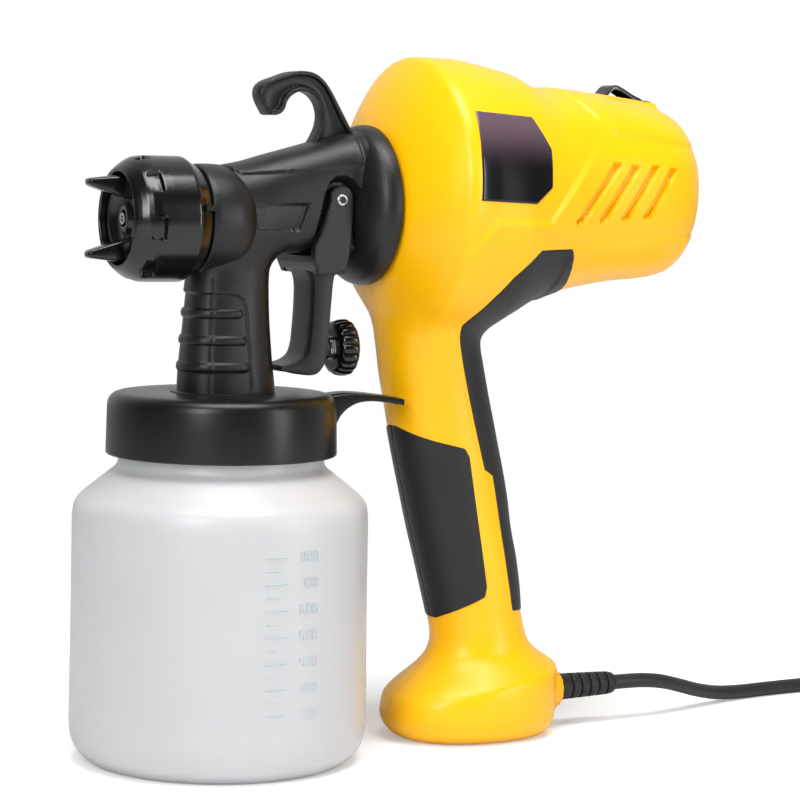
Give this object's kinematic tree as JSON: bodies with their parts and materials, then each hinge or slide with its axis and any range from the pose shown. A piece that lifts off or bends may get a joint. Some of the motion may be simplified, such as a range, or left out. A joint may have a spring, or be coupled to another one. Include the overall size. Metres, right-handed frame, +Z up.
{
  "type": "paint sprayer",
  "caption": "Handheld electric paint sprayer: turbine housing with pistol handle and foot, clip-on spray gun with trigger and hanging hook, screw-on paint bottle and mains cord.",
  "frame": {"origin": "centre of the bottle's flat base, on the surface the sprayer stands on", "axes": "+Z up, X along the gun axis with the nozzle towards -X, Y across the symmetry plane"},
  "size_m": [0.4495, 0.1443, 0.2668],
  "materials": {
    "yellow_shell": "satin moulded plastic",
    "black_body": "fine-grained moulded plastic",
    "gloss_black": "glossy moulded plastic",
    "grip_rubber": "matt rubber",
    "label": "smooth film",
    "milky_bottle": "translucent blown polyethylene",
    "seal": "soft",
    "steel_parts": "turned",
    "brass_parts": "turned",
    "copper_parts": "enamelled wire",
    "iron_core": "laminated",
    "carbon": "pressed carbon",
    "cord_black": "matt sheath"
  },
  "bodies": {
    "turbine_unit": {"housing_left": "yellow_shell", "housing_right": "yellow_shell", "front_grip": "grip_rubber", "rear_grip": "grip_rubber", "label_plate": "label", "switch_case": "black_body", "field_core": "iron_core", "field_coil_upper": "copper_parts", "field_coil_lower": "copper_parts", "motor_mount_front": "grip_rubber", "motor_mount_rear": "grip_rubber", "bearing_front": "steel_parts", "bearing_rear": "steel_parts", "brush_left": "carbon", "brush_right": "carbon", "fan_cover": "black_body", "cord_bushing": "grip_rubber", "cord": "cord_black", "cord_coil": "cord_black", "plug": "cord_black", "housing_screw_1": "steel_parts", "housing_screw_2": "steel_parts", "housing_screw_3": "steel_parts", "housing_screw_4": "steel_parts", "housing_screw_5": "steel_parts", "housing_screw_6": "steel_parts"},
    "rotor": {"motor_shaft": "steel_parts", "armature": "iron_core", "commutator": "copper_parts", "fan_wheel": "black_body", "fan_nut": "steel_parts"},
    "rocker": {"switch_rocker": "gloss_black"},
    "gun": {"gun_body": "black_body", "fluid_nozzle": "brass_parts", "needle_packing": "seal", "packing_nut": "brass_parts", "spring_cap": "brass_parts", "needle_spring": "steel_parts", "trigger_pin": "steel_parts", "suction_tube": "seal", "lid_gasket": "seal"},
    "ring": {"ring_nut": "gloss_black"},
    "cap": {"air_cap": "gloss_black"},
    "needle": {"needle": "steel_parts"},
    "trigger": {"trigger": "black_body", "knob_spring": "steel_parts"},
    "screw": {"flow_screw": "steel_parts"},
    "knob": {"flow_knob": "gloss_black"},
    "lid": {"lid_ring": "black_body"},
    "bottle": {"bottle": "milky_bottle"}
  },
  "joints": [
    {"name": "gun_twist", "type": "hinge", "parent": "turbine_unit", "child": "gun", "pos_m": [0.0597, 0, 0.2095], "axis": [1, 0, 0], "range_deg": [-30, 0]},
    {"name": "rotor_spin", "type": "hinge", "parent": "turbine_unit", "child": "rotor", "pos_m": [0.14, 0, 0.2135], "axis": [1, 0, 0], "continuous": true},
    {"name": "rocker_tilt", "type": "hinge", "parent": "turbine_unit", "child": "rocker", "pos_m": [0.171, 0, 0.2555], "axis": [0, 1, 0], "range_deg": [-16, 0]},
    {"name": "trigger_pull", "type": "hinge", "parent": "gun", "child": "trigger", "pos_m": [0.0407, 0, 0.2116], "axis": [0, -1, 0], "range_deg": [0, 8.5], "stiffness_Nm_per_rad": 1.5, "springref_deg": -14.32},
    {"name": "needle_slide", "type": "slide", "parent": "gun", "child": "needle", "axis": [1, 0, 0], "range_m": [0, 0.0013], "deforming": ["needle_spring"]},
    {"name": "knob_turn", "type": "hinge", "parent": "screw", "child": "knob", "pos_m": [0.051, 0, 0.155], "axis": [1, 0, 0], "range_deg": [-720, 0]},
    {"name": "screw_feed", "type": "slide", "parent": "trigger", "child": "screw", "axis": [1, 0, 0], "range_m": [-0.0001, 0.0025], "deforming": ["knob_spring"]},
    {"name": "ring_turn", "type": "hinge", "parent": "gun", "child": "ring", "pos_m": [-0.026, 0, 0.2035], "axis": [1, 0, 0], "range_deg": [0, 360]},
    {"name": "air_cap_turn", "type": "hinge", "parent": "gun", "child": "cap", "pos_m": [-0.034, 0, 0.2035], "axis": [1, 0, 0], "range_deg": [0, 90]},
    {"name": "lid_turn", "type": "hinge", "parent": "gun", "child": "lid", "pos_m": [0, 0, 0.13], "axis": [0, 0, 1], "range_deg": [-330, 0]},
    {"name": "bottle_turn", "type": "hinge", "parent": "gun", "child": "bottle", "pos_m": [0, 0, 0.06], "axis": [0, 0, 1], "range_deg": [0, 360]}
  ],
  "couplings": [
    {"joint": "needle_slide", "follows": "trigger_pull", "m_per_rad": 0.0081},
    {"joint": "screw_feed", "follows": "knob_turn", "m_per_rad": -0.00015915}
  ]
}
